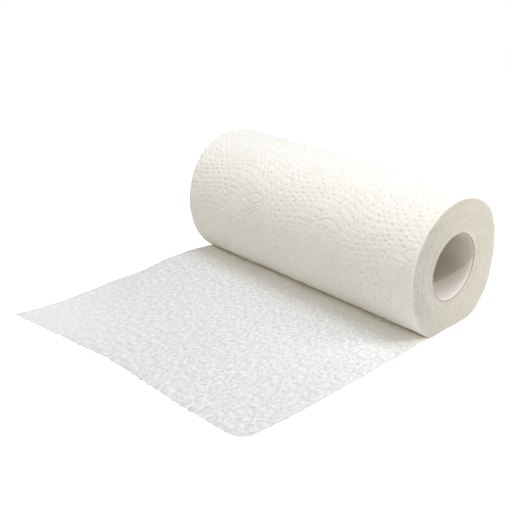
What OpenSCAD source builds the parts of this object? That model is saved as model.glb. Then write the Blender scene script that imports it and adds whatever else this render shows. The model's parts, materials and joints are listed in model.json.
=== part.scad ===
// Paper towel roll that lies on its side, with one sheet pulled out across the table.
// The roll's axis runs along X. The origin is on the table, under the middle of the roll.
// The wound turns and the loose sheet are one continuous web of embossed paper.

/* [Roll] */
// Width of the paper web, which is the length of the roll
roll_w = 225; // [180:1:280]
// Length of one sheet, from one perforation to the next
sheet_l = 172; // [140:1:250]
// Number of sheets that are still wound up
sheet_count = 72; // [40:1:110]
// Thickness of the embossed web
web_t = 0.5; // [0.3:0.05:0.8]
// Width of the flat spot that the soft roll rests on
flat_w = 40; // [10:1:48]
// Rounding of the roll's soft rims
rim_r = 1.5; // [0.5:0.1:3]

/* [Core] */
// Inside diameter of the cardboard core
core_bore_d = 48; // [36:0.5:60]
// Wall of the core
core_wall = 0.9; // [0.6:0.1:2]
// How far each end of the core stands back from the paper
core_inset = 0.4; // [0:0.1:3]
// Gap between the core and the first turn of paper
core_gap = 0.05; // [0:0.05:0.3]

/* [Turns] */
// Turns of paper from one pass of the line on the roll's ends to the next
turns_per_line = 4; // [4:1:8]
// Width of the line between two turns
line_w = 0.4; // [0.2:0.1:0.8]
// Depth of the line between two turns
line_depth = 0.6; // [0.2:0.1:2]

/* [Loose sheet] */
// Distance from the roll's axis to the perforation that joins the loose sheet
perforation_y = 29.5; // [26:0.5:45]
// Height of the fold that the perforation makes in the sheet
fold_h = 1.4; // [0:0.1:3]
// Length over which the fold flattens out towards the free edge
fold_l = 32; // [10:1:80]
// Length of the point that the tear left at the left corner
tear_l = 12.5; // [0:0.5:25]
// Width of that point along the free edge
tear_w = 95; // [30:1:150]
// Height to which the free edge lifts
edge_h = 1.5; // [0:0.1:8]
// Length of sheet over which the free edge lifts
edge_l = 60; // [30:1:120]
// Height to which the near corner curls up, above the rest of the free edge
corner_h = 3; // [0:0.1:10]
// Size of the curled corner
corner_l = 45; // [20:1:80]
// Rounding of the curled corner
corner_r = 10; // [2:0.5:20]
// Height to which the left side stands off the table beside the roll
side_h = 2.5; // [0:0.1:8]
// Width of the side that stands off
side_w = 45; // [20:1:90]
// Length of the side that stands off
side_l = 75; // [40:1:100]

/* [Perforation] */
// Length of one slit
slit_l = 6; // [3:0.5:10]
// Length of paper that is left between two slits
bond_l = 2; // [1:0.5:4]
// Width of a slit
slit_w = 0.4; // [0.2:0.1:0.8]
// Length of the torn tabs along the free edge
tab_l = 0.9; // [0.4:0.1:2]

/* [Hidden] */
$fn = 96;
paper_colour = "#EFEDE6";
board_colour = "#C3B8A2";

// Overlap of a cutter with the air around it
over = 1;
core_r = core_bore_d / 2;
core_outer_r = core_r + core_wall;
wound_r = core_outer_r + core_gap;

// The wound web fills the ring between the core and the outer turn
wound_l = sheet_count * sheet_l;
roll_r = sqrt(wound_r ^ 2 + wound_l * web_t / PI);
axis_z = sqrt(roll_r ^ 2 - (flat_w / 2) ^ 2);

// The line on the ends starts inside the rounded rim, above where the sheet leaves the roll, and winds in
line_pitch = turns_per_line * web_t;
line_first = rim_r + line_w;
line_start = -90 - asin(flat_w / 2 / roll_r);
line_turns = (roll_r - wound_r - line_first) / line_pitch - 0.5;
line_step = 10;
line_steps = floor(line_turns * 360 / line_step);

// The loose sheet starts inside the roll, so that the two are one solid
sheet_root_y = flat_w / 4;
sheet_end_y = perforation_y + sheet_l;
sheet_cols = 16;
sheet_rows = 18;
perforation_pitch = slit_l + bond_l;
slit_count = floor((roll_w - bond_l) / perforation_pitch);
slit_top = fold_h + web_t + over;
sheet_top = edge_h + corner_h + side_h + slit_top;

// Rises from 0 to 1, level at both ends, as t goes from 0 to 1
function ease(t) = let (c = min(max(t, 0), 1)) c * c * (3 - 2 * c);

// Distance from the axis to the roll's outline, an arc that the table cuts flat
function outline_r(angle) = -sin(angle) * roll_r > axis_z ? -axis_z / sin(angle) : roll_r;

// The spiral line at one step, moved in or out by half its width
function line_point(step, side) =
    let (
        angle = line_start + step * line_step,
        wound = line_first + line_pitch * step * line_step / 360,
        share = wound / (roll_r - wound_r),
        edge = outline_r(angle),
        r = edge - share * (edge - wound_r) + side * line_w / 2
    )
    [r * cos(angle), r * sin(angle)];

// Distance from the roll's axis to the free edge, which the tear left longer at the left corner
function free_edge_y(from_left) = sheet_end_y + tear_l * max(0, 1 - from_left / tear_w);

// Heights of the loose sheet's underside, by distance from its left edge and from the roll's axis
function fold_rise(from_axis) =
    from_axis < perforation_y
        ? fold_h * max(0, (from_axis - flat_w / 2) / (perforation_y - flat_w / 2))
        : fold_h * ease(1 - (from_axis - perforation_y) / fold_l);
function edge_rise(from_left, from_axis) =
    edge_h * ease(from_left / tear_w) * ease(1 - (free_edge_y(from_left) - from_axis) / edge_l);
function corner_rise(from_left, from_axis) =
    corner_h * ease(1 - norm([roll_w - from_left, sheet_end_y - from_axis]) / corner_l);
function side_rise(from_left, from_axis) =
    let (along = (from_axis - perforation_y) / side_l)
    side_h * ease(1 - from_left / side_w) * ease(3 * along) * ease(2 - 2 * along);
function sheet_height(from_left, from_axis) =
    fold_rise(from_axis) + edge_rise(from_left, from_axis)
    + corner_rise(from_left, from_axis) + side_rise(from_left, from_axis);

// Rows of the sheet's grid: in the roll, at the crease, at the perforation, then to the free edge
function row_y(row, from_left) =
    row == 0 ? sheet_root_y
    : row == 1 ? flat_w / 2
    : perforation_y + (free_edge_y(from_left) - perforation_y) * (row - 2) / (sheet_rows - 2);
function sheet_point(col, row, rise) =
    let (from_left = roll_w * col / sheet_cols, from_axis = row_y(row, from_left))
    [from_left - roll_w / 2, -from_axis, sheet_height(from_left, from_axis) + rise];
function sheet_side(rise) =
    [for (row = [0:sheet_rows]) for (col = [0:sheet_cols]) sheet_point(col, row, rise)];
function sheet_index(col, row, side) =
    side * (sheet_cols + 1) * (sheet_rows + 1) + row * (sheet_cols + 1) + col;

// Two triangles for the four-cornered patch a, b, c, d, which runs anticlockwise seen from outside
function patch(a, b, c, d) = [[a, c, b], [a, d, c]];
function flatten(lists) = [for (list = lists) for (item = list) item];

// Puts a shape drawn about Z on the roll's axis, with Z along X from the left end
module on_axis() {
    translate([-roll_w / 2, 0, axis_z]) rotate([90, 0, 90]) children();
}

module above_table() {
    intersection() {
        children();
        translate([-roll_w, -2 * roll_r, 0]) cube([2 * roll_w, 4 * roll_r, 4 * roll_r]);
    }
}

// Half section of the wound roll, with its rims rounded
module wound_profile() {
    square([roll_r - rim_r, roll_w]);
    translate([0, rim_r]) square([roll_r, roll_w - 2 * rim_r]);
    for (end = [rim_r, roll_w - rim_r])
        translate([roll_r - rim_r, end]) circle(r = rim_r);
}

module wound_turns() {
    above_table() on_axis() rotate_extrude() wound_profile();
}

module loose_sheet() {
    last_col = sheet_cols - 1;
    last_row = sheet_rows - 1;
    faces = concat(
        flatten([for (row = [0:last_row]) for (col = [0:last_col]) patch(
            sheet_index(col, row, 0), sheet_index(col + 1, row, 0),
            sheet_index(col + 1, row + 1, 0), sheet_index(col, row + 1, 0))]),
        flatten([for (row = [0:last_row]) for (col = [0:last_col]) patch(
            sheet_index(col, row, 1), sheet_index(col, row + 1, 1),
            sheet_index(col + 1, row + 1, 1), sheet_index(col + 1, row, 1))]),
        flatten([for (row = [0:last_row]) patch(
            sheet_index(0, row, 0), sheet_index(0, row + 1, 0),
            sheet_index(0, row + 1, 1), sheet_index(0, row, 1))]),
        flatten([for (row = [0:last_row]) patch(
            sheet_index(sheet_cols, row, 0), sheet_index(sheet_cols, row, 1),
            sheet_index(sheet_cols, row + 1, 1), sheet_index(sheet_cols, row + 1, 0))]),
        flatten([for (col = [0:last_col]) patch(
            sheet_index(col, 0, 0), sheet_index(col, 0, 1),
            sheet_index(col + 1, 0, 1), sheet_index(col + 1, 0, 0))]),
        flatten([for (col = [0:last_col]) patch(
            sheet_index(col, sheet_rows, 0), sheet_index(col + 1, sheet_rows, 0),
            sheet_index(col + 1, sheet_rows, 1), sheet_index(col, sheet_rows, 1))])
    );
    polyhedron(points = concat(sheet_side(0), sheet_side(web_t)), faces = faces);
}

// The line between two turns, cut into the roll's left end
module turn_line() {
    outer_side = [for (step = [0:line_steps]) line_point(step, 1)];
    inner_side = [for (step = [line_steps:-1:0]) line_point(step, -1)];
    translate([0, 0, -over]) linear_extrude(line_depth + over) polygon(concat(outer_side, inner_side));
}

module end_lines() {
    on_axis() turn_line();
    on_axis() translate([0, 0, roll_w - line_depth + over]) turn_line();
}

function slit_x(slit) = slit * perforation_pitch - (slit_count * perforation_pitch - bond_l) / 2;

module perforation_slits() {
    for (slit = [0:slit_count - 1])
        translate([slit_x(slit), -perforation_y - slit_w / 2, -over])
            cube([slit_l, slit_w, slit_top + over]);
}

// Notches along the free edge leave the torn tabs standing
module edge_notches() {
    for (slit = [0:slit_count - 1])
        translate([slit_x(slit), -free_edge_y(slit_x(slit) + slit_l / 2 + roll_w / 2) - over, -over])
            cube([slit_l, tab_l + over, sheet_top + over]);
}

module corner_cut() {
    translate([roll_w / 2 - corner_r, -sheet_end_y + corner_r, -over]) linear_extrude(sheet_top + over)
        difference() {
            translate([0, -corner_r - over]) square([corner_r + over, corner_r + over]);
            circle(r = corner_r);
        }
}

module paper_web() {
    color(paper_colour) difference() {
        union() {
            wound_turns();
            loose_sheet();
        }
        on_axis() translate([0, 0, -over]) cylinder(r = wound_r, h = roll_w + 2 * over);
        end_lines();
        perforation_slits();
        edge_notches();
        corner_cut();
    }
}

module core_tube() {
    color(board_colour) on_axis() translate([0, 0, core_inset]) difference() {
        cylinder(r = core_outer_r, h = roll_w - 2 * core_inset);
        translate([0, 0, -over]) cylinder(r = core_r, h = roll_w + 2 * over);
    }
}

core_tube();
paper_web();
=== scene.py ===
# %% [markdown]
# # A paper towel roll with one sheet pulled out
# The roll lies on its side on a soft flat spot, and the end of its web lies out across the table.
# Every piece is a surface worked out with numpy, in metres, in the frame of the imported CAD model.
# The model is loaded first, so that each size below can be taken from it.

# %% Load the frame
import json
import math
import bpy
import numpy as np
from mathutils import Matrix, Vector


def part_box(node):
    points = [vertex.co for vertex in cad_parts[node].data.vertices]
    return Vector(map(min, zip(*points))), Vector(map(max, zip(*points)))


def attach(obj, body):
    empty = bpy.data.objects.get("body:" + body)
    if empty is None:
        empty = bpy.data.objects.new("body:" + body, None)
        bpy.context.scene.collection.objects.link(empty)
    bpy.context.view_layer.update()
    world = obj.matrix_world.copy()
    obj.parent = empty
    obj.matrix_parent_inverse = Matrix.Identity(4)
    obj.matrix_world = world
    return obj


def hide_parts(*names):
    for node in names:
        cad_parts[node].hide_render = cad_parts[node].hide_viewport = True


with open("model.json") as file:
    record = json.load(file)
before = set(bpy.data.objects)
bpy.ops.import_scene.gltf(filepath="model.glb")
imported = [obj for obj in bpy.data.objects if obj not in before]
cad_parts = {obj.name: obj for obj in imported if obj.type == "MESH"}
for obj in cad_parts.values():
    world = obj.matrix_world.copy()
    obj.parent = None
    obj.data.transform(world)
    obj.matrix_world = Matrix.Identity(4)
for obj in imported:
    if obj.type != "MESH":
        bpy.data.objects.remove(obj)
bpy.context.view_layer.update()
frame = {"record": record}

# %% [markdown]
# ## Sizes
# The CAD box of the web gives the width of the paper and the radius of the outer turn, and the core
# tube's box gives the axis. Taken from the frame, and not typed in again, they can't drift away from it.
# The flat spot follows from the two: it is where the circle meets the table. Angles run round the axis
# from +Y, so 90 degrees is the top, and the sheet lies towards -Y. A hair's gap parts surfaces that
# would otherwise touch.

# %% Sizes from the frame
MM = 0.001
TAU = 2 * math.pi
web_low, web_high = (np.array(corner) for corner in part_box("paper_web"))
core_low, core_high = (np.array(corner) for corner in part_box("core_tube"))
bore = next(m for m in frame["record"]["mounts"] if m["name"] == "core_bore")

HALF_W = web_high[0]
ROLL_R = web_high[1]
AXIS_Z = (core_low[2] + core_high[2]) / 2
HALF_FLAT = math.sqrt(ROLL_R**2 - AXIS_Z**2)
CORE_HALF = core_high[0]
CORE_OUT = (core_high[1] - core_low[1]) / 2
CORE_IN = bore["dims"]["r_mm"] * MM
WEB_T = 0.5 * MM
SHEET_L = 172 * MM
PERFORATION = 29.5 * MM
GAP = 0.05 * MM
print("roll radius", round(ROLL_R, 4), "axis height", round(AXIS_Z, 4), "half flat", round(HALF_FLAT, 4))

# %% [markdown]
# ## Helpers
# A grid of points becomes a mesh of four-cornered faces. A grid can be closed round either of its
# parameters, which is how a ring is made without a seam. Blender's own tools could add the faces one at
# a time, but whole arrays are far quicker with this many points. The other helpers are a soft step and a
# smooth noise: random numbers on a lattice, blended, which give paper its small unevenness. Each noise
# has a seed, so that every run gives the same paper.

# %% Grid to mesh
def grid_faces(rows, cols, close_rows=False, close_cols=False):
    """Corner numbers of a grid's faces: each face joins (i, j), (i, j+1), (i+1, j+1) and (i+1, j)."""
    i = np.arange(rows if close_rows else rows - 1)[:, None]
    j = np.arange(cols if close_cols else cols - 1)[None, :]
    below, beside = (i + 1) % rows, (j + 1) % cols
    corners = [i * cols + j, i * cols + beside, below * cols + beside, below * cols + j]
    return np.stack([np.broadcast_to(c, (i.size, j.size)) for c in corners], axis=-1).reshape(-1, 4)


def make_piece(name, points, faces, replaced, layout, masks):
    """A smooth mesh from points (n, 3) and faces (m, 4), riding on the roll, with a UV map in metres."""
    mesh = bpy.data.meshes.new(name)
    mesh.vertices.add(len(points))
    mesh.vertices.foreach_set("co", points.astype(np.float32).ravel())
    mesh.loops.add(faces.size)
    mesh.loops.foreach_set("vertex_index", faces.astype(np.int32).ravel())
    mesh.polygons.add(len(faces))
    mesh.polygons.foreach_set("loop_start", np.arange(0, faces.size, 4, dtype=np.int32))
    mesh.polygons.foreach_set("use_smooth", np.ones(len(faces), dtype=bool))
    uv = mesh.uv_layers.new(name="layout")
    uv.uv.foreach_set("vector", layout[faces.ravel()].astype(np.float32).ravel())
    for mask, values in masks.items():
        attribute = mesh.attributes.new(mask, "FLOAT", "POINT")
        attribute.data.foreach_set("value", values.astype(np.float32).ravel())
    mesh.update(calc_edges=True)
    mesh.validate()
    obj = bpy.data.objects.new(name, mesh)
    bpy.context.scene.collection.objects.link(obj)
    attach(obj, "root")
    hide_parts(replaced)
    print(name, len(points), "points", 2 * len(faces), "triangles")
    return obj


print("a grid of 3 by 4 points has", len(grid_faces(3, 4)), "faces")

# %% Curves and noise
LATTICE = 512


def ease(t):
    """3t^2 - 2t^3 of t held between 0 and 1: level at both ends."""
    c = np.clip(t, 0, 1)
    return c * c * (3 - 2 * c)


def between(pair, t):
    """From the first value of a pair to the second as t goes from 0 to 1."""
    return pair[0] + (pair[1] - pair[0]) * t


def cloud(p, q, size, seed):
    """Noise from -1 to 1: random numbers on a lattice with that spacing, blended with the ease curve."""
    table = np.random.default_rng(seed).uniform(-1, 1, (LATTICE, LATTICE))
    a, b = np.broadcast_arrays(p / size, q / size)
    i, j = np.floor(a).astype(int), np.floor(b).astype(int)
    s, t = ease(a - i), ease(b - j)
    i, j, next_i, next_j = (corner % LATTICE for corner in (i, j, i + 1, j + 1))
    near = table[i, j] * (1 - s) + table[next_i, j] * s
    far = table[i, next_j] * (1 - s) + table[next_i, next_j] * s
    return near * (1 - t) + far * t


def clouds(p, q, layers):
    """Sum of noises, each given as its height and its size in millimetres and its seed."""
    return sum(height * MM * cloud(p, q, size * MM, seed) for height, size, seed in layers)


print("noise halfway between lattice points", round(float(cloud(0.5, 0.5, 1.0, 1)), 3))

# %% [markdown]
# ## The shape of the roll's section
# A soft roll isn't a true circle, and a plain cylinder would look like a pipe. It stands a little taller
# than it is wide, leans a touch towards the pulled sheet, is squarer at the back and looser at its upper
# front, and its weight presses a flat spot. The section is the smaller of that oval and the table's
# line, and a soft minimum rounds the two corners where they meet. The sheet's own thickness lies under
# the front half of the flat spot, because the web leaves the roll there.

# %% Section of the roll
OVAL = 0.03
LEAN = math.radians(8)
BULGE = 3.0 * MM
BULGE_WIDE = math.radians(70)
LOOSE = 1.6 * MM, 2.6 * MM
LOOSE_AT = math.radians(132), math.radians(152)
LOOSE_WIDE = math.radians(30)
CORNER_SOFT = 0.7 * MM, 1.6 * MM
CORNER_FROM, CORNER_OVER = -1.75, 0.4
UNDER_WEB = math.radians(-84), math.radians(-102)
LEAST_DOWN = -0.3


def section_r(angle, along=0.0):
    """Soft minimum, -k log(e^(-a/k) + e^(-b/k)), of a bulged oval's radius and the table's distance."""
    turned = (angle + math.pi / 2) % TAU - math.pi / 2
    below = np.where(turned > math.pi, turned - TAU, turned)
    bulge = BULGE * np.exp(-((below / BULGE_WIDE) ** 2)) * (0.5 - 0.5 * np.cos(4 * below))
    ends = -HALF_W, HALF_W
    off_loose = (angle - np.interp(along, ends, LOOSE_AT)) / LOOSE_WIDE
    loose = np.interp(along, ends, LOOSE) * np.exp(-(off_loose**2))
    oval = ROLL_R * (1 - OVAL * np.cos(2 * (angle - LEAN))) + bulge + loose
    lift = GAP + WEB_T * ease((UNDER_WEB[0] - below) / (UNDER_WEB[0] - UNDER_WEB[1]))
    table = (lift - AXIS_Z) / np.minimum(np.sin(angle), LEAST_DOWN)
    soft = between(CORNER_SOFT, ease((below - CORNER_FROM) / CORNER_OVER))
    return -soft * np.logaddexp(-oval / soft, -table / soft)


turn = np.linspace(0, TAU, 721)
print("section from", round(section_r(turn).min(), 4), "to", round(section_r(turn).max(), 4))

# %% [markdown]
# ## The embossing
# The web is pressed between patterned rollers, so the outer turn has rows of small dots that sway, and
# leaves drawn with nested lines, where the dots stop. A bump in the material could stand for them, but
# the mesh itself would stay smooth, so they are real depths. Both are worked out from a place on the
# flat web: the distance round the roll and the distance along it. A dot is a smooth pit, and a line is
# a shallow groove along the outline of a leaf, which is two arcs that meet in points. No two dots are
# quite alike: sines of long strides over the lattice move each one and change its strength.

# %% Pressed dots
DOT_PITCH = 5.7 * MM
DOT_ROW = 4.5 * MM
DOT_R = 0.92 * MM
DOT_DEPTH = 1.2 * MM
DOT_EVEN = 0.7
SWAY, SWAY_L, SWAY_START = 4.6 * MM, 88 * MM, 1.0
DRIFT = 1.2
DRIFT_L = 131 * MM, 117 * MM
SHAKE = 0.7 * MM, 0.8 * MM
STRIDES = (45.2, 31.7, 0), (27.1, 61.3, 2), (12.9, 78.2, 0)


def dot_press(around, along):
    """e^-(distance / radius)^3 from a staggered lattice that is bent by sines and shaken a little."""
    drift_row = DRIFT * np.sin(TAU * around / DRIFT_L[0])
    drift_col = DRIFT * np.sin(TAU * along / DRIFT_L[1])
    row_at = around + SWAY * np.sin(TAU * along / SWAY_L + drift_row)
    col_at = along + SWAY * np.sin(TAU * around / SWAY_L + SWAY_START + drift_col)
    row = np.round(row_at / DOT_ROW)
    shift = DOT_PITCH / 2 * (row % 2)
    col = np.round((col_at - shift) / DOT_PITCH)
    own_row, own_col, own_press = (np.sin(p * row + q * col + start) for p, q, start in STRIDES)
    off_row = row_at - row * DOT_ROW - SHAKE[0] * own_row
    off_col = col_at - shift - col * DOT_PITCH - SHAKE[1] * own_col
    strength = DOT_EVEN + (1 - DOT_EVEN) * own_press
    return strength * np.exp(-((np.hypot(off_row, off_col) / DOT_R) ** 3))


patch = np.meshgrid(np.linspace(0, 100 * MM, 300), np.linspace(0, 100 * MM, 300))
print("share of a patch inside dots", round(float((dot_press(*patch) > 0.3).mean()), 3))

# %% Pressed leaves
LEAF_TILE = 62 * MM, 74 * MM
LEAF_HALF = 17 * MM, 10 * MM
LEAF_TILT = 24
LEAF_LINES, LEAF_STEP = 3, 2.5 * MM
LEAF_CLEAR = 2.6 * MM
RIB_SHARE = 0.45
BASE_HALF = 9 * MM, 3.8 * MM
BASE_AT = 0.88, 0.82
BASE_BEND = math.radians(52)
LINE_R, LINE_DEPTH, LINE_MOST = 0.6 * MM, 0.55 * MM, 1.1


def leaf_away(p, q, half_l, half_w):
    """Signed distance to a leaf, two arcs of radius (l^2 + w^2) / 2w that meet: negative inside."""
    arc = (half_l**2 + half_w**2) / (2 * half_w)
    return np.hypot(p, np.abs(q) + arc - half_w) - arc


def groove(away):
    """e^-(distance / radius)^2 across a pressed line."""
    return np.exp(-((away / LINE_R) ** 2))


def leaf_press(around, along):
    """Grooves along nested leaf outlines, a dotted rib and two base leaves; how near a leaf a place is."""
    row = np.floor(around / LEAF_TILE[0])
    shifted = along + LEAF_TILE[1] / 2 * (row % 2)
    col = np.floor(shifted / LEAF_TILE[1])
    a = around - (row + 0.5) * LEAF_TILE[0]
    b = shifted - (col + 0.5) * LEAF_TILE[1]
    tilt = np.radians(np.where((row + col) % 2 == 0, LEAF_TILT, -LEAF_TILT))
    p, q = a * np.cos(tilt) + b * np.sin(tilt), b * np.cos(tilt) - a * np.sin(tilt)
    main = leaf_away(p, q, *LEAF_HALF)
    seeds = np.abs((p / LEAF_STEP + 0.5) % 1 - 0.5) * LEAF_STEP
    rib = groove(np.hypot(seeds, q)) * (np.abs(p) < LEAF_HALF[0] * RIB_SHARE)
    base = np.full(np.shape(main), np.inf)
    for side in (1, -1):
        bent = side * BASE_BEND
        from_p, from_q = p + LEAF_HALF[0] * BASE_AT[0], q - side * LEAF_HALF[1] * BASE_AT[1]
        s = from_p * math.cos(bent) + from_q * math.sin(bent)
        t = from_q * math.cos(bent) - from_p * math.sin(bent)
        base = np.minimum(base, leaf_away(s, t, *BASE_HALF))
    lines = sum(groove(main + step * LEAF_STEP) for step in range(LEAF_LINES))
    lines = lines + rib + groove(base) * (main > LINE_R)
    return np.clip(lines, 0, LINE_MOST), ease(1 - np.minimum(main, base) / LEAF_CLEAR)


print("share of the patch near leaves", round(float((leaf_press(*patch)[1] > 0).mean()), 3))

# %% Height of the embossed web
UNEVEN = (0.18, 6.5, 11), (0.11, 3.1, 12), (0.08, 1.7, 13)


def emboss(around, along):
    """Pits and grooves as a height, with the web's slight unevenness, and how far a place is pressed."""
    lines, near = leaf_press(around, along)
    dots = dot_press(around, along) * (1 - near)
    height = clouds(around, along, UNEVEN) - DOT_DEPTH * dots - LINE_DEPTH * lines
    return height, np.clip(dots + lines, 0, 1)


print("deepest press", round(emboss(*patch)[0].min() / MM, 2), "mm")

# %% [markdown]
# ## The outer turn
# The outside of the roll is one web with soft rims, crisp at the low front and slacker at the upper
# back. A cylinder with a bevel could stand for it, but a surface of two parameters can follow the uneven
# section and carry the embossing: the angle round the axis, and a profile along the width whose two ends
# curl over the rims. It is built as two pieces that meet at the next perforation, one sheet length up
# the web from the loose sheet's, so that each stays light. At that line both edges are tucked in, which
# leaves the fine dent that a perforation shows. Rows are closest where the front shows most.

# %% Profile along the width
RIM_R = 0.5 * MM, 3.0 * MM
RIM_ROUNDEST = math.radians(60)
RIM_POWER = 1.5
RIM_STEPS = 5


def rim_r(angle):
    """Radius of the soft rim: a raised cosine, to a power, from the low front to the upper back."""
    return between(RIM_R, (0.5 + 0.5 * np.cos(angle - RIM_ROUNDEST)) ** RIM_POWER)


def width_profile(angle, steps):
    """Place along the axis and drop below the surface: quarter circle, straight run, quarter circle."""
    bend = np.linspace(0, math.pi / 2, RIM_STEPS + 1)[None, :]
    rim_x, rim_drop = HALF_W - rim_r(angle) * (1 - np.cos(bend)), rim_r(angle) * (1 - np.sin(bend))
    run = np.linspace(-1, 1, steps + 1)[None, 1:-1] * (HALF_W - rim_r(angle))
    x = np.concatenate([-rim_x, run, rim_x[:, ::-1]], axis=1)
    return x, np.concatenate([rim_drop, 0 * run, rim_drop[:, ::-1]], axis=1)


up_the_web = SHEET_L - PERFORATION - HALF_FLAT
NEXT_PERFORATION = math.asin(-AXIS_Z / ROLL_R) + up_the_web / ROLL_R
print("next perforation at", round(math.degrees(NEXT_PERFORATION), 1), "degrees")

# %% Surface of the outer turn
TUCK, TUCK_W = 0.7 * MM, 0.5 * MM
RAGGED, RAGGED_SIZE = 0.3 * MM, 5 * MM
SWELL, SWELL_SIZE = 0.25 * MM, 38 * MM
PLAIN_RIM, PLAIN_RIM_FADE = 0.3 * MM, 1.6 * MM
PLAIN_LOW, PLAIN_LOW_FADE = -0.93, 0.03


def rim_ragged(angle):
    """How far the rim stands out at an angle: noise along a circle, so that it closes on itself."""
    return RAGGED * cloud(ROLL_R * np.cos(angle), ROLL_R * np.sin(angle), RAGGED_SIZE, 8)


def outer_turn(name, angles, tucked, steps):
    """(x, r cos a, r sin a) about the axis, r = section + emboss - rim drop - tuck at the perforation."""
    a = angles[:, None]
    along, drop = width_profile(a, steps)
    around = a * ROLL_R
    off_rim = ease((HALF_W - np.abs(along) - PLAIN_RIM) / PLAIN_RIM_FADE)
    off_table = ease((np.sin(a) - PLAIN_LOW) / PLAIN_LOW_FADE)
    # How far a place is pressed; the finish uses it to paint shade into the pressed dots and lines.
    height, press_shade = emboss(around, along)
    swell = SWELL * cloud(around, along, SWELL_SIZE, 5)
    tuck = TUCK * np.exp(-(((a - tucked) * ROLL_R / TUCK_W) ** 2))
    r = section_r(a, along) + (height + swell) * off_rim * off_table - drop - tuck
    # The cut rim: it moves the ragged rim, and the finish paints shade on it.
    rim = ease((np.abs(along) - HALF_W + rim_r(a)) / rim_r(a))
    x = along + np.sign(along) * rim_ragged(a) * rim
    points = np.stack([x, r * np.cos(a), AXIS_Z + r * np.sin(a)], axis=-1)
    layout = np.stack(np.broadcast_arrays(along, around), axis=-1).reshape(-1, 2)
    faces = grid_faces(*points.shape[:2])
    masks = {"press_shade": press_shade * off_rim, "rim": rim}
    return make_piece(name, points.reshape(-1, 3), faces, "paper_web", layout, masks)


print("rim stands out by up to", round(rim_ragged(turn).max() / MM, 2), "mm")

# %% Outer turn pieces
ROWS_TOP, ROWS_FRONT, ROWS_BACK = 66, 228, 228
FINE_FROM, BACK_FROM = math.radians(112), math.radians(-67.2)
FRONT_END = math.pi + math.asin(AXIS_Z / ROLL_R)
under_front, under_back = np.radians(np.arange(249, 272, 2.0)), np.radians(np.arange(-90, -68, 2.0))
front_angles = np.concatenate([np.linspace(NEXT_PERFORATION, FINE_FROM, ROWS_TOP, endpoint=False),
                               np.linspace(FINE_FROM, FRONT_END, ROWS_FRONT), under_front])
back_angles = np.concatenate([under_back, np.linspace(BACK_FROM, NEXT_PERFORATION, ROWS_BACK)])
turn_front = outer_turn("outer_turn_front", front_angles, NEXT_PERFORATION, steps=316)
turn_back = outer_turn("outer_turn_back", back_angles, NEXT_PERFORATION, steps=350)

# %% [markdown]
# ## The wound ends
# On the end of a roll the edges of all the turns show as a fine spiral. The turns could be wound one by
# one as thin strips, but only their edges show, so the end is a ring between the core and the rim with
# relief on it. Its two parameters are the angle and the share of the way out, so that the turns follow
# the flat spot. The ring sinks a little towards the core, as a loosely wound roll does. Each turn stands
# out by its own small amount, and a groove parts it from the next.

# %% Relief of the ends
TURNS = 30
DISH, DISH_POWER = 1.3 * MM, 1.3
STAND_OUT = 0.34 * MM
GROOVE = 0.26 * MM
RING_W = 27 * MM
WAVY, WAVY_SIZE = 0.45, 7 * MM
WORN, WORN_SIZE = 0.45, 5 * MM
EACH_AROUND = 1.4
CORE_FADE, RIM_FADE, WAVY_FADE = 20, 8, 5
# Shares of painted shade on the ends, evenly and in the grooves, and of each turn's own tone.
EVEN_SHADE, GROOVE_SHADE, DARK_EACH = 0.25, 0.6, 0.3
END_SOFT = (0.16, 3.0, 23), (0.1, 1.3, 25)


def end_relief(angle, share):
    """Depth: the dish, each turn of a wavy spiral at its own depth, grooves; and painted shade with each
    turn's tone.
    """
    y, z = share * RING_W * np.cos(angle), share * RING_W * np.sin(angle)
    wavy = WAVY * cloud(y, z, WAVY_SIZE, 24) * ease(WAVY_FADE * share) * ease(WAVY_FADE * (1 - share))
    place = share * TURNS + angle / TAU + wavy
    each = cloud(np.floor(place), angle * EACH_AROUND, 1.0, 21)
    worn = 1 - WORN + WORN * cloud(y, z, WORN_SIZE, 22)
    parted = (0.5 + 0.5 * np.cos(TAU * place)) ** 3 * worn
    edge = ease(RIM_FADE * (1 - share)) * ease(CORE_FADE * share)
    relief = STAND_OUT * (0.5 + 0.5 * each) + GROOVE * parted + clouds(y, z, END_SOFT)
    # Painted shade: most in the grooves and some evenly over the end; each turn also has its own tone.
    dark = np.clip(GROOVE_SHADE * parted + EVEN_SHADE + DARK_EACH * each, 0, 1)
    return relief * edge + DISH * (1 - share) ** DISH_POWER, dark


middle = end_relief(np.linspace(0, TAU, 100), 0.5)[0]
print("relief halfway out", round(middle.min() / MM, 2), "to", round(middle.max() / MM, 2), "mm deep")

# %% End pieces
LIP = 6 * MM


def wound_end(name, side, rings, steps):
    """(side (half width - depth), r cos a, r sin a), with r from the core to the rim by the share."""
    angle = np.linspace(0, TAU, steps, endpoint=False)[None, :]
    share = np.linspace(0, 1, rings)[:, None]
    r = between((CORE_OUT + GAP, section_r(angle, side * HALF_W) - rim_r(angle)), share)
    depth, dark = end_relief(angle * side, share)
    out = side * (HALF_W - depth + rim_ragged(angle) * (share == 1))
    points = np.stack([out, r * np.cos(angle), AXIS_Z + r * np.sin(angle)], axis=-1)
    lip = points[:1].copy()
    lip[..., 0] -= side * LIP
    points = np.concatenate([lip, points])
    # The groove mask carries painted shade in the grooves and over the end, and each turn's own tone.
    masks = {"groove": np.concatenate([dark[:1], dark])}
    faces = grid_faces(*points.shape[:2], close_cols=True)
    faces = faces[:, ::-1] if side > 0 else faces
    layout = points[..., 1:].reshape(-1, 2)
    return make_piece(name, points.reshape(-1, 3), faces, "paper_web", layout, masks)


end_right = wound_end("wound_end_right", side=1, rings=170, steps=400)
end_left = wound_end("wound_end_left", side=-1, rings=150, steps=340)

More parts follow.
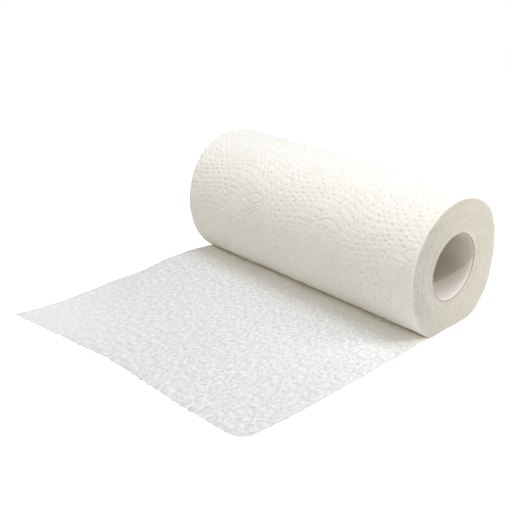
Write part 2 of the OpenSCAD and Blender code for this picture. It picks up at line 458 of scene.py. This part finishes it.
# %% [markdown]
# ## The loose sheet
# One sheet is pulled out across the table. A fold stands at its perforation, next to the roll. The free
# edge was torn from the next sheet, so it is ragged, runs out to a point at the left and curls up at the
# near corner. A cloth simulation could lay it down, but this paper lies almost flat and each lift is
# known, so formulas place them. The sheet is a grid over its width and its length, once for the upper
# side and once for the underside, and a rim closes the two into one thin skin.

# %% Plan of the sheet
SHEET_ROOT = HALF_FLAT / 2
SHEET_END = PERFORATION + SHEET_L
TEAR_L, TEAR_W = -web_low[1] - SHEET_END, 95 * MM
CORNER_R = 10 * MM
TAB_L = 0.9 * MM
SLIT, BOND = 6 * MM, 2 * MM
FIBRES = (0.35, 1.6, 31), (0.5, 9.0, 32)
COLS = 232
ROWS_NEAR, ROWS_FOLD, ROWS_OUT = 5, 12, 186


def free_edge(x):
    """Distance from the axis to the free edge: the tear's point, the round corner, tabs and fibres."""
    left, right = x + HALF_W, HALF_W - x
    point = TEAR_L * np.maximum(0, 1 - left / TEAR_W)
    across = np.clip(CORNER_R - right, 0, CORNER_R)
    rounded = CORNER_R - np.sqrt(CORNER_R**2 - across**2)
    pitch = SLIT + BOND
    tabs = TAB_L * np.exp(-((np.abs((left / pitch) % 1 - 0.5) * pitch / (BOND / 2)) ** 4))
    torn = tabs + clouds(x, 0 * x, FIBRES)
    return SHEET_END - TAB_L + point - rounded + torn * ease(right / CORNER_R)


def sheet_plan():
    """Grid of places (x, out): rows under the roll, rows of the fold, then shares of the way out."""
    x = np.linspace(-HALF_W, HALF_W, COLS)[None, :]
    near = np.linspace(SHEET_ROOT, HALF_FLAT, ROWS_NEAR, endpoint=False)
    fold = np.linspace(HALF_FLAT, PERFORATION, ROWS_FOLD, endpoint=False)
    share = np.concatenate([0 * near, 0 * fold, np.linspace(0, 1, ROWS_OUT)])[:, None]
    start = np.concatenate([near, fold, np.full(ROWS_OUT, PERFORATION)])[:, None]
    return np.broadcast_arrays(x, start + share * (free_edge(x) - start))


sheet_x, sheet_out = sheet_plan()
print("sheet reaches", round(float(sheet_out.max()), 4), "m out, in", sheet_out.shape, "points")

# %% Heights of the sheet
FOLD_H, FOLD_L, FOLD_POWER = 1.2 * MM, 32 * MM, 0.7
EDGE_H, EDGE_L = 0.3 * MM, 60 * MM
CURL_H, CURL_L = 2.4 * MM, 45 * MM
SIDE_H, SIDE_W, SIDE_L = 2.5 * MM, 45 * MM, 75 * MM


def sheet_height(x, out):
    """Fold at the perforation + lift of the free edge + curl of the near corner + lift of the left."""
    left = x + HALF_W
    rising = np.clip((out - HALF_FLAT) / (PERFORATION - HALF_FLAT), 0, 1)
    falling = ease(1 - (out - PERFORATION) / FOLD_L)
    fold = FOLD_H * np.where(out < PERFORATION, rising**FOLD_POWER, falling)
    edge = EDGE_H * ease(left / TEAR_W) * ease(1 - (free_edge(x) - out) / EDGE_L)
    curl = CURL_H * ease(1 - np.hypot(HALF_W - x, SHEET_END - out) / CURL_L)
    a = (out - PERFORATION) / SIDE_L
    side = SIDE_H * ease(1 - left / SIDE_W) * ease(3 * a) * ease(2 - 2 * a)
    return fold + edge + curl + side


print("sheet lifts up to", round(sheet_height(sheet_x, sheet_out).max() / MM, 2), "mm")

# %% Two sides of the sheet
SIDE_AT = np.array([10, 31, 76, 101, 127, 161, 181, 196, 214]) * MM
SIDE_OUT = np.array([0, 1.5, 1.5, 0, 0, -3.2, -3.6, -2.4, 1.8]) * MM
SIDE_FADE, START_FADE = 70 * MM, 8 * MM
WAVE, WAVE_SIZE = 0.35 * MM, 34 * MM
RIPPLE, RIPPLE_SIZE = 0.26 * MM, 3.4 * MM
CREASE, CREASE_SIZE = 0.16 * MM, 2.1 * MM
SLANT = 0.8, 0.6
RIPPLE_LEFT, RIPPLE_FADE = (0.2, 1.0), 7 * MM
THICK_LEFT, THICK_FADE = (0.3, 1.0), 3 * MM
PIMPLE = 0.13 * MM
SLIT_R, SLIT_DEPTH = 0.35 * MM, 0.35 * MM
TABLE_GAP = 0.03 * MM


def slit_press(x, out):
    """e^-(distance / radius)^2 from the perforation's line, on the slits and not on the bonds."""
    return ((x + HALF_W) % (SLIT + BOND) > BOND) * np.exp(-(((out - PERFORATION) / SLIT_R) ** 2))


def sheet_sides(x, out):
    """Heights + waves + ripples; the top adds a thickness and pimples, the dots seen from behind."""
    past = ease((out - HALF_FLAT) / START_FADE)
    wave = WAVE * (1 + cloud(x, out, WAVE_SIZE, 43)) * past
    slant, other = SLANT[0] * x - SLANT[1] * out, SLANT[1] * x + SLANT[0] * out
    ripple = RIPPLE * (1 + cloud(slant, other, RIPPLE_SIZE, 41))
    ripple = ripple + CREASE * (1 + cloud(other, slant, CREASE_SIZE, 42))
    inward = np.minimum(free_edge(x) - out, HALF_W - np.abs(x))
    uneven = (wave + ripple * past) * between(RIPPLE_LEFT, ease(inward / RIPPLE_FADE))
    low = TABLE_GAP + sheet_height(x, out) + uneven
    thick = WEB_T * between(THICK_LEFT, ease(inward / THICK_FADE))
    high = low + thick + PIMPLE * dot_press(out, x) * past - SLIT_DEPTH * slit_press(x, out)
    x_out = x - np.interp(out, SIDE_AT, SIDE_OUT) * ease(1 - (x + HALF_W) / SIDE_FADE)
    return [np.stack([x_out, -out, z], axis=-1) for z in (high, low)]


top, under = sheet_sides(sheet_x, sheet_out)
print("sheet stands up to", round(top[..., 2].max() / MM, 2), "mm above the table")

# %% Marks on the sheet
# Painted light: the strip by the roll and the band beside it are lightened, lifting the roll's shade on
# the sheet.
STRIP_PAST, STRIP_SOFT = 3 * MM, 0.8 * MM
THIN_FROM, THIN_L, THIN_W = 100 * MM, 100 * MM, 130 * MM
SHADE_LIFT_L = 27 * MM
OPEN_SIZE, OPEN_FROM, OPEN_OVER, OPEN_SHARE = 7 * MM, 0.5, 0.2, (0.15, 1.0)


def sheet_marks(x, out):
    """Shares from 0 to 1: painted shade in open slits, painted light on the strip and the band beside the
    roll, and a lighter far left corner.
    """
    # Painted shade in the slits, stronger where a slit is opened.
    opened = between(OPEN_SHARE, ease((cloud(x, 0 * x, OPEN_SIZE, 44) - OPEN_FROM) / OPEN_OVER))
    # Painted light on the strip, from the roll to just past the perforation.
    strip_painted_light = ease((PERFORATION + STRIP_PAST - out) / STRIP_SOFT)
    # The sheet is lighter towards its far left corner.
    lighter_corner = ease((out - THIN_FROM) / THIN_L) * ease(1 - (x + HALF_W) / THIN_W)
    # Painted light: the band beside the roll is lightened and cooled, lifting the roll's shade there.
    beside = ease(1 - (out - PERFORATION) / SHADE_LIFT_L)
    return {"slit": slit_press(x, out) * opened, "strip_painted_light": strip_painted_light, "lighter_corner": lighter_corner, "beside": beside}


marks = sheet_marks(sheet_x, sheet_out)
print("marks", {mark: round(float(share.mean()), 3) for mark, share in marks.items()})

# %% Loose sheet piece
def skin_faces(rows, cols):
    """Faces of an upper grid, of a lower one numbered after it, and of the rim between their edges."""
    upper = grid_faces(rows, cols)[:, ::-1]
    lower = grid_faces(rows, cols) + rows * cols
    right, left = np.arange(1, rows) * cols + cols - 1, np.arange(rows - 2, 0, -1) * cols
    near, far = np.arange(cols), (rows - 1) * cols + np.arange(cols - 2, -1, -1)
    ring = np.concatenate([near, right, far, left])
    after = np.roll(ring, -1)
    rim = np.stack([ring, after, after + rows * cols, ring + rows * cols], axis=-1)
    return np.concatenate([upper, lower, rim])


plan = np.stack([sheet_x, sheet_out], axis=-1).reshape(-1, 2)
sheet = make_piece("loose_sheet", np.concatenate([top.reshape(-1, 3), under.reshape(-1, 3)]),
                   skin_faces(*sheet_x.shape), "paper_web", np.concatenate([plan, plan]),
                   {mark: np.concatenate([share, 0 * share]) for mark, share in marks.items()})
flat_out = free_edge(sheet_x[0]) - SHEET_ROOT

# %% [markdown]
# ## The core
# The core is a tube of thin card, wound from a strip on a slant, so a seam runs round its inside as a
# helix. A plain tube with the seam painted on would look flat, so the lap is a real step. The tube is a
# closed profile carried round the axis. Its columns follow the helix, so that the step at the lapped
# seam falls between two of them and stays crisp.

# %% Core piece
SEAM_STEP = 0.21 * MM
SEAM_TURN = math.radians(3.2) / MM
SEAM_START = math.radians(6)
LAP_W = 0.004
SET_BACK = DISH + 0.2 * MM
CORE_ROWS, EDGE_ROWS, CORE_COLS = 100, 5, 200


def core_points():
    """(x, r cos a, r sin a) of a profile in and back; a follows the helix, r falls at the lap."""
    end, wall = CORE_HALF - SET_BACK, CORE_OUT - CORE_IN
    depth = np.linspace(0, 2 * end, CORE_ROWS)
    edge = np.linspace(0, 1, EDGE_ROWS + 2)[1:-1]
    x = np.concatenate([end - depth, -end - 0 * edge, depth - end, end + 0 * edge])[:, None]
    r = np.concatenate([0 * depth + CORE_IN, CORE_IN + wall * edge,
                        0 * depth + CORE_OUT, CORE_OUT - wall * edge])[:, None]
    lap = np.concatenate([np.linspace(0, 1, CORE_COLS - 1) ** 2, [0.0]])
    turned = np.concatenate([np.linspace(0, TAU, CORE_COLS - 1, endpoint=False), [TAU - LAP_W]])
    angle = SEAM_START - SEAM_TURN * (CORE_HALF - x) + turned
    inner = np.clip((CORE_OUT - r) / wall, 0, 1)
    r = r + SEAM_STEP * (1 - lap) * inner
    points = np.stack([x + 0 * angle, r * np.cos(angle), AXIS_Z + r * np.sin(angle)], axis=-1)
    cut = np.isclose(np.abs(x), end) * ease(4 * (1 - inner)) + 0 * angle
    return points, cut, np.stack(np.broadcast_arrays(turned / TAU, CORE_HALF - x), axis=-1)


core_grid, core_cut, core_plan = core_points()
core_faces = grid_faces(*core_grid.shape[:2], close_rows=True, close_cols=True)
core = make_piece("core_board_tube", core_grid.reshape(-1, 3), core_faces, "core_tube",
                  core_plan.reshape(-1, 2), {"lap": core_plan[..., 0], "cut": core_cut})

# %% [markdown]
# ## Finishes
# Towel paper is soft, dull and slightly uneven: fibres clump into lighter and darker specks, and fine
# crepe wrinkles lie across the web. A picture of paper could be wrapped round, but noise has no seams and
# no end. One node group makes those specks and wrinkles from a place on the piece, and each paper finish
# uses it with its own sizes. The shader itself stays in each material.

# %% Paper fibre group
CREPE_DRAWN = (1.0, 0.6, 1.0)
CREPE_SHARE = 0.6


def new_node(tree, kind, **settings):
    """A node of that kind, with its properties set by name and its input sockets by title."""
    node = tree.nodes.new(kind)
    for key, value in settings.items():
        if key in node.bl_rna.properties:
            setattr(node, key, value)
        else:
            node.inputs[key].default_value = value
    return node


def join(tree, *pairs):
    """Links the output and the input of each pair."""
    for start, end in pairs:
        tree.links.new(start, end)


def paper_fibre_group():
    """Specks = noise at the clump size; Height = crepe, noise drawn out over the web, + fine fibres."""
    tree = bpy.data.node_groups.new("paper_fibre", "ShaderNodeTree")
    tree.interface.new_socket("Place", in_out="INPUT", socket_type="NodeSocketVector")
    for title, start in (("Clumps", 300.0), ("Fibres", 1500.0), ("Crepe", 900.0)):
        socket = tree.interface.new_socket(title, in_out="INPUT", socket_type="NodeSocketFloat")
        socket.default_value = start
    for title in ("Specks", "Height"):
        tree.interface.new_socket(title, in_out="OUTPUT", socket_type="NodeSocketFloat")
    given, made = tree.nodes.new("NodeGroupInput"), tree.nodes.new("NodeGroupOutput")
    clumps = new_node(tree, "ShaderNodeTexNoise", Detail=5.0, Roughness=0.78)
    fibres = new_node(tree, "ShaderNodeTexNoise", Detail=2.0, Roughness=0.5)
    crepe = new_node(tree, "ShaderNodeTexNoise", Detail=2.0, Roughness=0.5)
    drawn = new_node(tree, "ShaderNodeVectorMath", operation="MULTIPLY")
    drawn.inputs[1].default_value = CREPE_DRAWN
    both = new_node(tree, "ShaderNodeMath", operation="MULTIPLY_ADD")
    both.inputs[1].default_value = CREPE_SHARE
    for node, title in ((clumps, "Clumps"), (fibres, "Fibres"), (crepe, "Crepe")):
        tree.links.new(given.outputs[title], node.inputs["Scale"])
    place = given.outputs["Place"]
    join(tree, (place, fibres.inputs["Vector"]), (place, drawn.inputs[0]),
         (drawn.outputs[0], clumps.inputs["Vector"]), (drawn.outputs[0], crepe.inputs["Vector"]),
         (crepe.outputs["Fac"], both.inputs[0]), (fibres.outputs["Fac"], both.inputs[2]),
         (clumps.outputs["Fac"], made.inputs["Specks"]), (both.outputs[0], made.inputs["Height"]))
    return tree


paper_fibre = paper_fibre_group()
print("group", paper_fibre.name, [s.name for s in paper_fibre.interface.items_tree])

# %% [markdown]
# A paper finish mixes two close tones by the specks and lets the height move the normal. Attributes of
# the mesh then move it towards other tones: painted shade in a pressed dot, on a cut rim, in a groove
# between turns and in a slit, painted light on the two bands beside the roll, which lifts the roll's
# shade there, and a lighter tone towards the sheet's far left corner. They could be painted on a picture,
# but an attribute keeps to the shape that it marks. The outer turn is a warm white, the ends are the same
# warm paper darkened as painted shade, and the single loose sheet lets some of the table through, so it
# looks a cooler grey.

# %% Paper finishes
SPECK_RANGE = 0.38, 0.62


def new_finish(name, roughness, specular):
    """A material, its node tree and its shader, which holds the plain values on its own sockets."""
    material = bpy.data.materials.new(name)
    material.use_nodes = True
    shader = material.node_tree.nodes["Principled BSDF"]
    shader.inputs["Roughness"].default_value = roughness
    shader.inputs["Specular IOR Level"].default_value = specular
    return material, material.node_tree, shader


def paper_finish(name, light, dark, clumps, fibres, crepe, depth, masks):
    """Base colour = specks between two tones, then towards each mask's tone; normal from the height."""
    material, tree, shader = new_finish(name, roughness=0.95, specular=0.15)
    place = new_node(tree, "ShaderNodeUVMap", uv_map="layout")
    fibre = new_node(tree, "ShaderNodeGroup", node_tree=paper_fibre)
    for title, value in (("Clumps", clumps), ("Fibres", fibres), ("Crepe", crepe)):
        fibre.inputs[title].default_value = value
    ramp = new_node(tree, "ShaderNodeValToRGB")
    for stop, at, tone in zip(ramp.color_ramp.elements, SPECK_RANGE, (dark, light)):
        stop.position, stop.color = at, (*tone, 1)
    relief = new_node(tree, "ShaderNodeBump", Strength=1.0, Distance=depth)
    join(tree, (place.outputs["UV"], fibre.inputs["Place"]),
         (fibre.outputs["Specks"], ramp.inputs["Fac"]), (fibre.outputs["Height"], relief.inputs["Height"]),
         (relief.outputs["Normal"], shader.inputs["Normal"]))
    colour = ramp.outputs["Color"]
    for mask, tone, most in masks:
        marked = new_node(tree, "ShaderNodeAttribute", attribute_name=mask)
        share = new_node(tree, "ShaderNodeMath", operation="MULTIPLY")
        share.inputs[1].default_value = most
        mixed = new_node(tree, "ShaderNodeMix", data_type="RGBA")
        mixed.inputs["B"].default_value = (*tone, 1)
        join(tree, (marked.outputs["Fac"], share.inputs[0]), (share.outputs[0], mixed.inputs["Factor"]),
             (colour, mixed.inputs["A"]))
        colour = mixed.outputs["Result"]
    tree.links.new(colour, shader.inputs["Base Color"])
    return material


# Painted shade: the turn paper is darkened in the pressed dots and on the cut rim.
turn_paper = paper_finish(
    "turn_paper", light=(0.89, 0.873, 0.812), dark=(0.86, 0.842, 0.778),
    clumps=420, fibres=900, crepe=600, depth=0.4 * MM,
    masks=[("press_shade", (0.78, 0.76, 0.695), 0.2), ("rim", (0.72, 0.70, 0.64), 0.3)])
# The ends are the turn paper darkened as painted shade of the rough turn edges, with more in the grooves.
end_paper_shaded = paper_finish(
    "end_paper_shaded", light=(0.665, 0.643, 0.584), dark=(0.595, 0.574, 0.52),
    clumps=420, fibres=800, crepe=500, depth=0.9 * MM, masks=[("groove", (0.52, 0.497, 0.44), 0.5)])
# The sheet paper paints light on the strip and on the band beside the roll, and paints shade into the
# slits.
sheet_paper = paper_finish(
    "sheet_paper", light=(0.87, 0.868, 0.854), dark=(0.60, 0.598, 0.588),
    clumps=430, fibres=900, crepe=480, depth=0.55 * MM,
    masks=[("lighter_corner", (0.92, 0.92, 0.905), 0.5), ("beside", (0.93, 0.935, 0.935), 0.8),
           ("strip_painted_light", (0.94, 0.895, 0.80), 0.95), ("slit", (0.3, 0.28, 0.24), 0.8)])
for piece, material in ((turn_front, turn_paper), (turn_back, turn_paper), (end_right, end_paper_shaded),
                        (end_left, end_paper_shaded), (sheet, sheet_paper)):
    piece.data.materials.append(material)
    print(piece.name, "has", material.name)

# %% [markdown]
# The core's card is greyer and browner, with short fibres that lie along the strip. The run of its tone is
# painted light: it goes from light before the seam to darker after it, standing in for the light on the
# lower inside of the tube by its mouth. An attribute holds the share of the way round from the seam,
# because no coordinate of the tube follows the helix. The cut edge at each end shows the brown inside of
# the card.

# %% Card finish
# Card tones with painted light: lightest just before the seam, darker after it.
CARD_TONES_PAINTED_LIGHT = ((0.0, (0.80, 0.755, 0.66)), (0.3, (0.71, 0.67, 0.575)),
              (0.72, (0.93, 0.90, 0.85)), (1.0, (0.96, 0.93, 0.88)))
CARD_SPECKS = 0.18
CUT_TONE = (0.30, 0.24, 0.17)


def card_finish():
    """Base colour = painted light, a ramp over the share round from the seam, times specks; brown cut
    edge.
    """
    material, tree, shader = new_finish("core_card", roughness=0.85, specular=0.25)
    place = new_node(tree, "ShaderNodeTexCoord")
    lap = new_node(tree, "ShaderNodeAttribute", attribute_name="lap")
    cut = new_node(tree, "ShaderNodeAttribute", attribute_name="cut")
    tones = new_node(tree, "ShaderNodeValToRGB")
    stops = tones.color_ramp.elements
    for share, tone in CARD_TONES_PAINTED_LIGHT:
        stop = stops[0] if share == 0 else stops[-1] if share == 1 else stops.new(share)
        stop.color = (*tone, 1)
    specks = new_node(tree, "ShaderNodeTexNoise", Scale=900.0, Detail=5.0, Roughness=0.7)
    shade = new_node(tree, "ShaderNodeMix", data_type="RGBA", blend_type="MULTIPLY")
    shade.inputs["Factor"].default_value = CARD_SPECKS
    edged = new_node(tree, "ShaderNodeMix", data_type="RGBA")
    edged.inputs["B"].default_value = (*CUT_TONE, 1)
    relief = new_node(tree, "ShaderNodeBump", Strength=0.5, Distance=0.4 * MM)
    join(tree, (place.outputs["Object"], specks.inputs["Vector"]),
         (lap.outputs["Fac"], tones.inputs["Fac"]), (tones.outputs["Color"], shade.inputs["A"]),
         (specks.outputs["Color"], shade.inputs["B"]), (shade.outputs["Result"], edged.inputs["A"]),
         (cut.outputs["Fac"], edged.inputs["Factor"]), (specks.outputs["Fac"], relief.inputs["Height"]),
         (edged.outputs["Result"], shader.inputs["Base Color"]),
         (relief.outputs["Normal"], shader.inputs["Normal"]))
    return material


core.data.materials.append(card_finish())
print(core.name, "has", core.data.materials[0].name)

# %% [markdown]
# ## Floor, light and camera
# The photograph has a plain white ground and soft light. The floor is white paper that shows a little
# brighter to the camera than it is. More lamps could make it white too, but they would wash out the
# roll, and this way it still takes the roll's shadow. The world is white to the camera and gives hardly
# any light.

# %% Floor
FLOOR_HALF, FLOOR_POINTS = 0.8, 9
FLOOR_TONE, FLOOR_GLOW = (0.9, 0.9, 0.9, 1), 0.75


def white_floor():
    """A wide square with an even grid, whose shader adds a little light for camera rays alone."""
    side = np.linspace(-FLOOR_HALF, FLOOR_HALF, FLOOR_POINTS)
    x, y = np.meshgrid(side, side)
    mesh = bpy.data.meshes.new("floor")
    points = np.stack([x, y, 0 * x], axis=-1).reshape(-1, 3)
    mesh.from_pydata(points.tolist(), [], grid_faces(*x.shape).tolist())
    floor = bpy.data.objects.new("floor", mesh)
    bpy.context.scene.collection.objects.link(floor)
    material = bpy.data.materials.new("floor_white")
    material.use_nodes = True
    tree = material.node_tree
    tree.nodes.remove(tree.nodes["Principled BSDF"])
    paper = new_node(tree, "ShaderNodeBsdfDiffuse", Color=FLOOR_TONE)
    glow = new_node(tree, "ShaderNodeEmission", Strength=FLOOR_GLOW)
    none = new_node(tree, "ShaderNodeEmission", Strength=0.0)
    ray = new_node(tree, "ShaderNodeLightPath")
    chosen = new_node(tree, "ShaderNodeMixShader")
    both = new_node(tree, "ShaderNodeAddShader")
    join(tree, (ray.outputs["Is Camera Ray"], chosen.inputs["Fac"]), (none.outputs[0], chosen.inputs[1]),
         (glow.outputs[0], chosen.inputs[2]), (paper.outputs[0], both.inputs[0]),
         (chosen.outputs[0], both.inputs[1]),
         (both.outputs[0], tree.nodes["Material Output"].inputs["Surface"]))
    mesh.materials.append(material)
    return floor


floor = white_floor()
print("floor", tuple(round(d, 2) for d in floor.dimensions))

# %% World
FILL = 0.02
FILL_TONE = (1.0, 0.972, 0.915, 1)
WHITE = (1, 1, 1, 1)


def world_light():
    """Background colour: the warm fill, or white for camera, glossy and transmission rays."""
    world = bpy.data.worlds.new("studio")
    bpy.context.scene.world = world
    world.use_nodes = True
    tree = world.node_tree
    fill = tree.nodes["Background"]
    fill.inputs["Color"].default_value, fill.inputs["Strength"].default_value = FILL_TONE, FILL
    white = new_node(tree, "ShaderNodeBackground", Color=WHITE, Strength=1.0)
    ray = new_node(tree, "ShaderNodeLightPath")
    some = new_node(tree, "ShaderNodeMath", operation="MAXIMUM")
    any_of = new_node(tree, "ShaderNodeMath", operation="MAXIMUM")
    chosen = new_node(tree, "ShaderNodeMixShader")
    join(tree, (ray.outputs["Is Camera Ray"], some.inputs[0]),
         (ray.outputs["Is Glossy Ray"], some.inputs[1]), (some.outputs[0], any_of.inputs[0]),
         (ray.outputs["Is Transmission Ray"], any_of.inputs[1]),
         (any_of.outputs[0], chosen.inputs["Fac"]), (fill.outputs[0], chosen.inputs[1]),
         (white.outputs[0], chosen.inputs[2]),
         (chosen.outputs[0], tree.nodes["World Output"].inputs["Surface"]))
    return world


print("world", world_light().name, "gives", FILL)

# %% [markdown]
# A large warm softbox over the front and a smaller, cooler lamp above make the front cream and the top
# almost white. Fills lift the low front, the left end and the back. A lamp and a small reflector light
# the near end and the inside of its core. One large lamp could light it all, but the pressed dots need a
# smaller one to show. Each lamp is given by its place, its width in metres, its power and its tone.

# %% Lamps
AIM = np.array([0.0, -0.05, 0.05])


def unit(vector):
    """The vector divided by its length."""
    return vector / np.linalg.norm(vector)


def set_axes(obj, right, back, place):
    """World matrix whose columns are the right, the upright (back x right), the back and the place."""
    matrix = np.eye(4)
    matrix[:3] = np.stack([right, np.cross(back, right), back, place], axis=1)
    obj.matrix_world = [list(row) for row in matrix.T]
    bpy.context.scene.collection.objects.link(obj)


def softbox(name, place, size, power, tone):
    """A square area lamp at a place, turned so that its -Z looks at the aim."""
    lamp = bpy.data.lights.new(name, "AREA")
    lamp.shape, lamp.size, lamp.energy, lamp.color = "SQUARE", size, power, tone
    obj = bpy.data.objects.new(name, lamp)
    obj.visible_camera = False
    back = unit(np.array(place) - AIM)
    set_axes(obj, unit(np.cross((0, 1, 0), back)), back, place)
    return obj


lamps = [
    softbox("front_softbox", (0.0, -0.7, 1.25), 1.6, 8.9, (1.0, 0.965, 0.865)),
    softbox("top_lamp", (0.14, -0.02, 1.2), 0.45, 7.8, (0.83, 0.87, 1.0)),
    softbox("front_fill", (0.25, -1.0, 0.55), 0.5, 2.1, (1.0, 0.945, 0.83)),
    softbox("left_fill", (-0.85, -0.15, 0.3), 0.4, 1.2, (1.0, 0.97, 0.92)),
    softbox("back_fill", (-0.2, 1.0, 0.5), 0.6, 1.6, (1.0, 0.97, 0.92)),
    softbox("end_lamp", (0.5, 0.2, 0.55), 0.25, 1.5, (0.94, 0.94, 0.96)),
    softbox("end_reflector", (0.27, 0.1, 0.1), 0.12, 0.2, (1.0, 0.95, 0.84)),
]
print("lamps", {lamp.name: round(lamp.data.energy, 2) for lamp in lamps})

# %% [markdown]
# The camera stands where the photograph's did. Its place could be found by eye, but these values were
# fitted to the outlines of the roll, so that the render can be laid over the photograph.

# %% Camera
CAMERA_AIM = np.array([-22.48, -60.0, 30.17]) * MM
CAMERA_AWAY = 647.25 * MM
CAMERA_TURN, CAMERA_RISE, CAMERA_ROLL = (math.radians(d) for d in (45.74, 23.55, 0.72))
FOCAL_PIXELS, IMAGE_PIXELS, SENSOR_MM = 860.7, 512, 36.0


def photo_camera():
    """Axes of the camera: back from the turn and the rise, right level with the floor, then rolled."""
    back = np.array([math.sin(CAMERA_TURN) * math.cos(CAMERA_RISE),
                     -math.cos(CAMERA_TURN) * math.cos(CAMERA_RISE), math.sin(CAMERA_RISE)])
    level = unit(np.cross((0, 0, 1), back))
    right = math.cos(CAMERA_ROLL) * level + math.sin(CAMERA_ROLL) * np.cross(back, level)
    lens = bpy.data.cameras.new("photo_camera")
    lens.sensor_width, lens.lens = SENSOR_MM, FOCAL_PIXELS / IMAGE_PIXELS * SENSOR_MM
    lens.clip_start, lens.clip_end = 0.01, 100
    camera = bpy.data.objects.new("photo_camera", lens)
    set_axes(camera, right, back, CAMERA_AIM + CAMERA_AWAY * back)
    bpy.context.scene.camera = camera
    return camera


camera = photo_camera()
bpy.context.scene.view_settings.view_transform = "Standard"
print("camera lens", round(camera.data.lens, 2), "mm")
